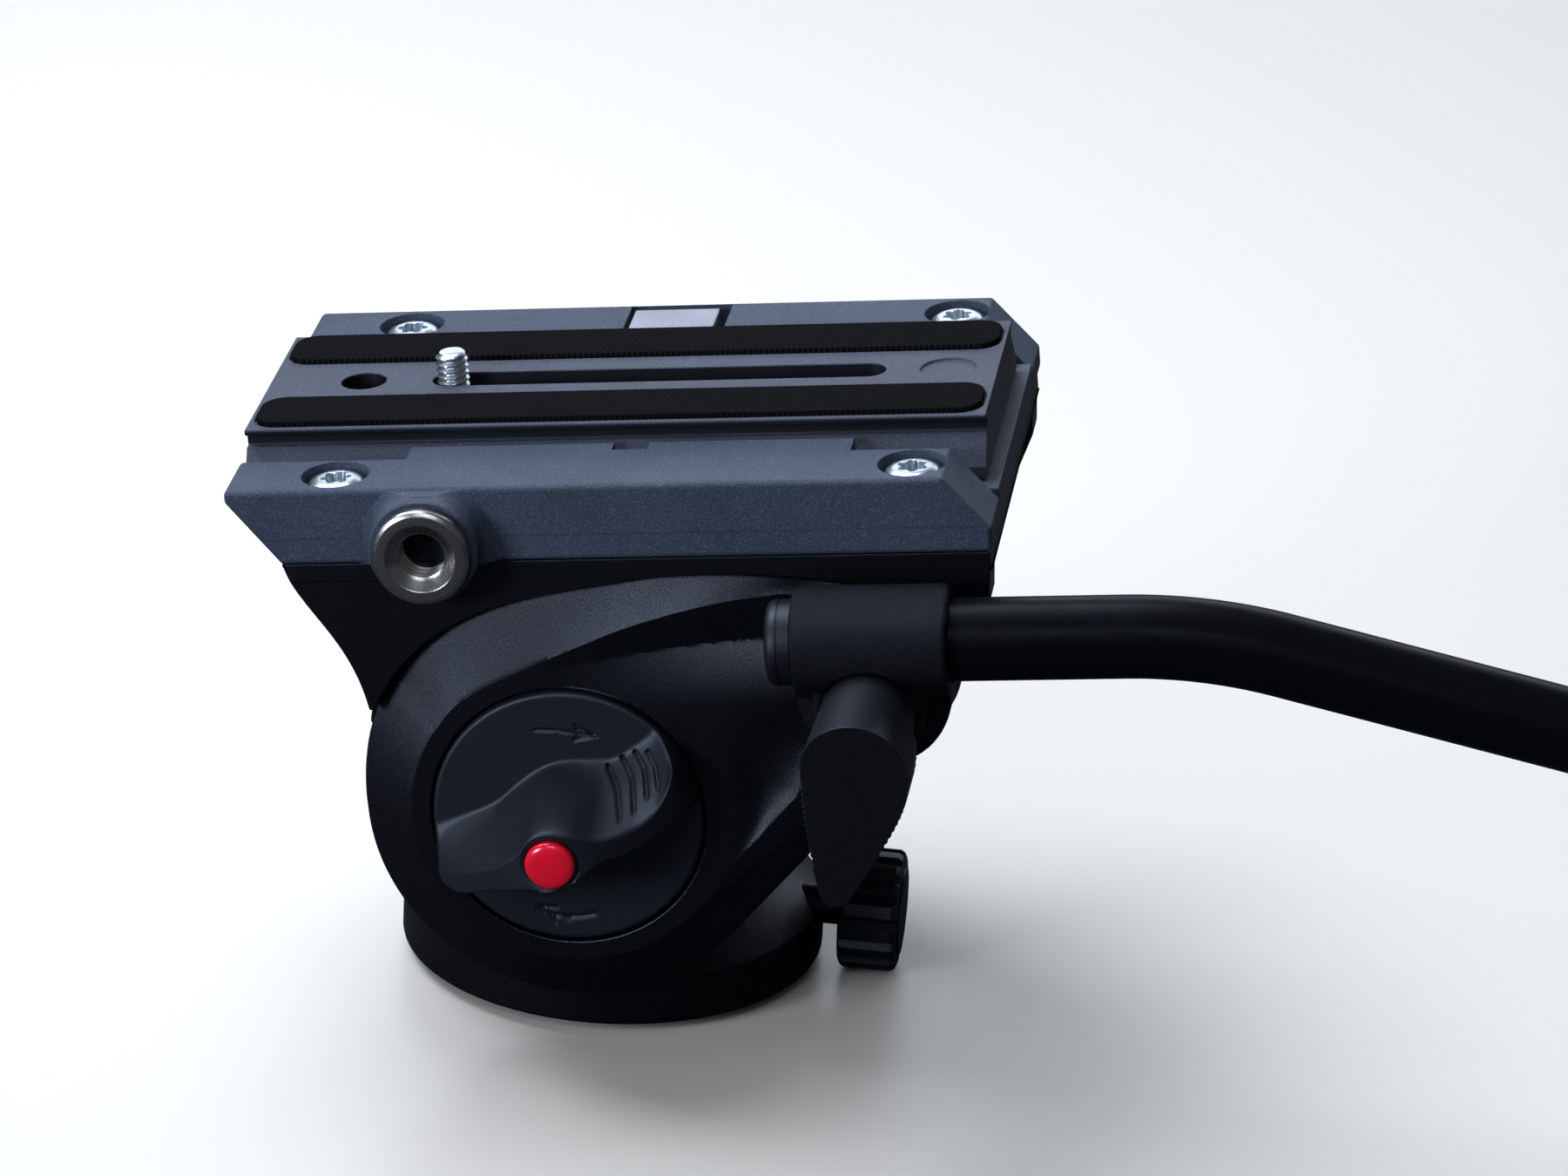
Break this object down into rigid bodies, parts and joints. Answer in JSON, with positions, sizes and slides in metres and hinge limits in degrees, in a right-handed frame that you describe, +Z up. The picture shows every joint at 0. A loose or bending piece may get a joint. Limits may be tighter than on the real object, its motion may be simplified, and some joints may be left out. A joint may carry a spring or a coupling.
{
  "type": "fluid video head",
  "caption": "Flat-base fluid video head with a sliding camera plate, winged tilt lock knob and a bent pan bar on a toothed clamp.",
  "frame": {"origin": "middle of the object's box, on the table that the foot stands on", "axes": "+X towards the rear, where the pan bar points, +Y to the operator's right, +Z up"},
  "size_m": [0.4324, 0.1504, 0.1298],
  "materials": {
    "casting": "satin",
    "rail": "satin",
    "plate": "matte",
    "black_plastic": "matte",
    "steel": "satin",
    "brass": "satin",
    "pad_rubber": "matte",
    "grip_rubber": "matte",
    "red_gloss": "gloss",
    "bar_paint": "gloss",
    "vial": "gloss"
  },
  "bodies": {
    "base": {"base_foot": "casting", "thread_bush": "steel", "pan_spindle": "steel", "spindle_nut": "steel"},
    "pan_body": {"pan_housing": "casting", "bubble_level": "vial", "lower_pan_bearing": "steel", "upper_pan_bearing": "steel", "thrust_washer": "brass", "pan_drag_ring": "black_plastic", "pan_brake_shoe": "brass", "left_tilt_bearing": "steel", "right_tilt_bearing": "steel", "tilt_drag_drum": "black_plastic", "counterbalance_spring": "steel"},
    "pan_lock": {"pan_lock_knob": "black_plastic", "pan_lock_screw": "steel"},
    "tilt_head": {"tilt_frame": "casting", "channel_floor": "rail", "left_rail": "rail", "right_rail": "rail", "rail_screw_1": "steel", "rail_screw_2": "steel", "rail_screw_3": "steel", "rail_screw_4": "steel", "accessory_bush": "steel", "left_side_cover": "black_plastic", "right_side_cover": "black_plastic", "right_cap": "black_plastic", "left_rosette": "steel", "right_rosette": "steel", "clamp_bolt": "steel", "tilt_axle": "steel", "tilt_brake_pad": "brass"},
    "tilt_lock": {"tilt_lock_knob": "black_plastic", "knob_cap": "red_gloss", "tilt_lock_screw": "steel"},
    "sliding_plate": {"camera_plate": "plate", "near_pad": "pad_rubber", "far_pad": "pad_rubber"},
    "screw_carriage": {"screw_washer": "steel"},
    "screw": {"camera_screw": "steel"},
    "jaw": {"clamp_jaw": "steel"},
    "plate_lock": {"plate_lock_lever": "black_plastic", "lock_lever_screw": "steel"},
    "button": {"safety_button": "red_gloss"},
    "bar": {"pan_bar_clamp": "black_plastic", "pan_bar": "bar_paint", "bar_end_plug": "black_plastic", "bar_grip": "grip_rubber", "grip_end_cap": "black_plastic"},
    "bar_lever": {"pan_bar_lever": "black_plastic"}
  },
  "joints": [
    {"name": "pan_turn", "type": "hinge", "parent": "base", "child": "pan_body", "pos_m": [-0.14538, 0.0207, 0], "axis": [0, 0, 1], "continuous": true},
    {"name": "pan_lock_turn", "type": "hinge", "parent": "pan_body", "child": "pan_lock", "pos_m": [-0.09538, 0.0207, 0.01275], "axis": [1, 0, 0], "range_deg": [0, 180]},
    {"name": "tilt", "type": "hinge", "parent": "pan_body", "child": "tilt_head", "pos_m": [-0.14818, 0.0207, 0.0494], "axis": [0, -1, 0], "range_deg": [-77, 83]},
    {"name": "tilt_lock_turn", "type": "hinge", "parent": "tilt_head", "child": "tilt_lock", "pos_m": [-0.14818, -0.0393, 0.0494], "axis": [0, -1, 0], "range_deg": [0, 90]},
    {"name": "plate_slide", "type": "slide", "parent": "tilt_head", "child": "sliding_plate", "axis": [0.9925, 0, 0.1219], "range_m": [-0.035, 0.035]},
    {"name": "screw_slide", "type": "slide", "parent": "sliding_plate", "child": "screw_carriage", "axis": [0.9925, 0, 0.1219], "range_m": [0, 0.079]},
    {"name": "screw_turn", "type": "hinge", "parent": "screw_carriage", "child": "screw", "pos_m": [-0.18056, 0.0207, 0.11625], "axis": [-0.1219, 0, 0.9925], "continuous": true},
    {"name": "plate_lock_turn", "type": "hinge", "parent": "tilt_head", "child": "plate_lock", "pos_m": [-0.14284, 0.0727, 0.10849], "axis": [0, -1, 0], "range_deg": [0, 60]},
    {"name": "jaw_slide", "type": "slide", "parent": "tilt_head", "child": "jaw", "axis": [0, 1, 0], "range_m": [0, 0.0008]},
    {"name": "safety_press", "type": "slide", "parent": "tilt_head", "child": "button", "axis": [0, -1, 0], "range_m": [0, 0.002], "stiffness_N_per_m": 300, "springref_m": -0.001},
    {"name": "bar_swing", "type": "hinge", "parent": "tilt_head", "child": "bar", "pos_m": [-0.09102, -0.0293, 0.08443], "axis": [0, -1, 0], "range_deg": [-60, 90]},
    {"name": "bar_lever_turn", "type": "hinge", "parent": "bar", "child": "bar_lever", "pos_m": [-0.09102, -0.0543, 0.08443], "axis": [0, -1, 0], "range_deg": [-30, 90]}
  ],
  "couplings": [
    {"joint": "jaw_slide", "follows": "plate_lock_turn", "m_per_rad": 0.00076394}
  ]
}
